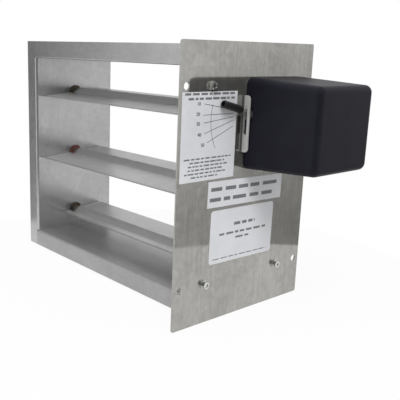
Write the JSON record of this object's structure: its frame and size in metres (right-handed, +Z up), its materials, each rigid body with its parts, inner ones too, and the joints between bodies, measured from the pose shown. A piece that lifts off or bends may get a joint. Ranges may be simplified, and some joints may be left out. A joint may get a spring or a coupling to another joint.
{
  "type": "rectangular zone damper",
  "caption": "Rectangular air-duct zone damper: linked parallel blades in a channel frame, behind a side mounting plate that carries a covered motor drive and a stop lever.",
  "frame": {"origin": "centre of the mounting plate's back face, the face that lies on the duct", "axes": "+X out of the duct through the plate towards the actuator, Y along the air flow with the pictured face at -Y, +Z up"},
  "size_m": [0.3847, 0.175, 0.254],
  "materials": {
    "galvanised": "galvanised sheet, dull with faint streaks",
    "zinc_steel": "zinc plated, satin",
    "bronze": "sintered bronze, dark and dull",
    "brass": "machined, satin",
    "black_plastic": "black, fine texture, slight sheen",
    "rubber": "black, dull",
    "label": "white film, satin"
  },
  "bodies": {
    "frame": {"mounting_plate": "galvanised", "frame_top": "galvanised", "frame_bottom": "galvanised", "frame_far_end": "galvanised", "frame_near_end": "galvanised", "plate_screws": "zinc_steel", "far_bush_1": "bronze", "far_bush_2": "bronze", "far_bush_3": "bronze", "near_bush_1": "bronze", "near_bush_2": "bronze", "near_bush_3": "bronze", "actuator_base": "galvanised", "base_screws": "zinc_steel", "gearbox": "zinc_steel", "gearbox_standoffs": "zinc_steel", "gearbox_screws": "zinc_steel", "motor": "zinc_steel", "terminal_block": "black_plastic", "terminal_screws": "zinc_steel", "actuator_cover": "black_plastic", "cover_screws": "zinc_steel", "wire_grommet": "rubber", "scale_label": "label", "upper_label": "label", "lower_label": "label"},
    "drive_blade": {"shaft_1": "zinc_steel", "blade_1": "galvanised", "crank_1": "zinc_steel", "crank_pin_1": "zinc_steel", "sector_gear": "zinc_steel"},
    "middle_blade": {"shaft_2": "zinc_steel", "blade_2": "galvanised", "crank_2": "zinc_steel", "crank_pin_2": "zinc_steel"},
    "bottom_blade": {"shaft_3": "zinc_steel", "blade_3": "galvanised", "crank_3": "zinc_steel", "crank_pin_3": "zinc_steel"},
    "link": {"tie_bar": "zinc_steel"},
    "pinion": {"drive_pinion": "brass"},
    "stop_lever": {"lever_hub": "zinc_steel", "lever_rod": "zinc_steel", "lever_grip": "black_plastic"}
  },
  "joints": [
    {"name": "blade_drive", "type": "hinge", "parent": "frame", "child": "drive_blade", "pos_m": [0, 0, 0.064], "axis": [1, 0, 0], "range_deg": [0, 82]},
    {"name": "middle_blade_turn", "type": "hinge", "parent": "frame", "child": "middle_blade", "pos_m": [0, 0, -0.0106], "axis": [1, 0, 0], "range_deg": [0, 82]},
    {"name": "bottom_blade_turn", "type": "hinge", "parent": "frame", "child": "bottom_blade", "pos_m": [0, 0, -0.0852], "axis": [1, 0, 0], "range_deg": [0, 82]},
    {"name": "link_pivot", "type": "hinge", "parent": "drive_blade", "child": "link", "pos_m": [0, 0.0166, 0.04957], "axis": [1, 0, 0], "range_deg": [-82, 0]},
    {"name": "pinion_turn", "type": "hinge", "parent": "frame", "child": "pinion", "pos_m": [0, 0.034, 0.064], "axis": [1, 0, 0], "range_deg": [-266.5, 0]},
    {"name": "stop_lever_turn", "type": "hinge", "parent": "frame", "child": "stop_lever", "pos_m": [0, 0, 0.064], "axis": [1, 0, 0], "range_deg": [0, 38]}
  ],
  "couplings": [
    {"joint": "middle_blade_turn", "follows": "blade_drive", "ratio": 1},
    {"joint": "bottom_blade_turn", "follows": "blade_drive", "ratio": 1},
    {"joint": "link_pivot", "follows": "blade_drive", "ratio": -1},
    {"joint": "pinion_turn", "follows": "blade_drive", "ratio": -3.25}
  ]
}
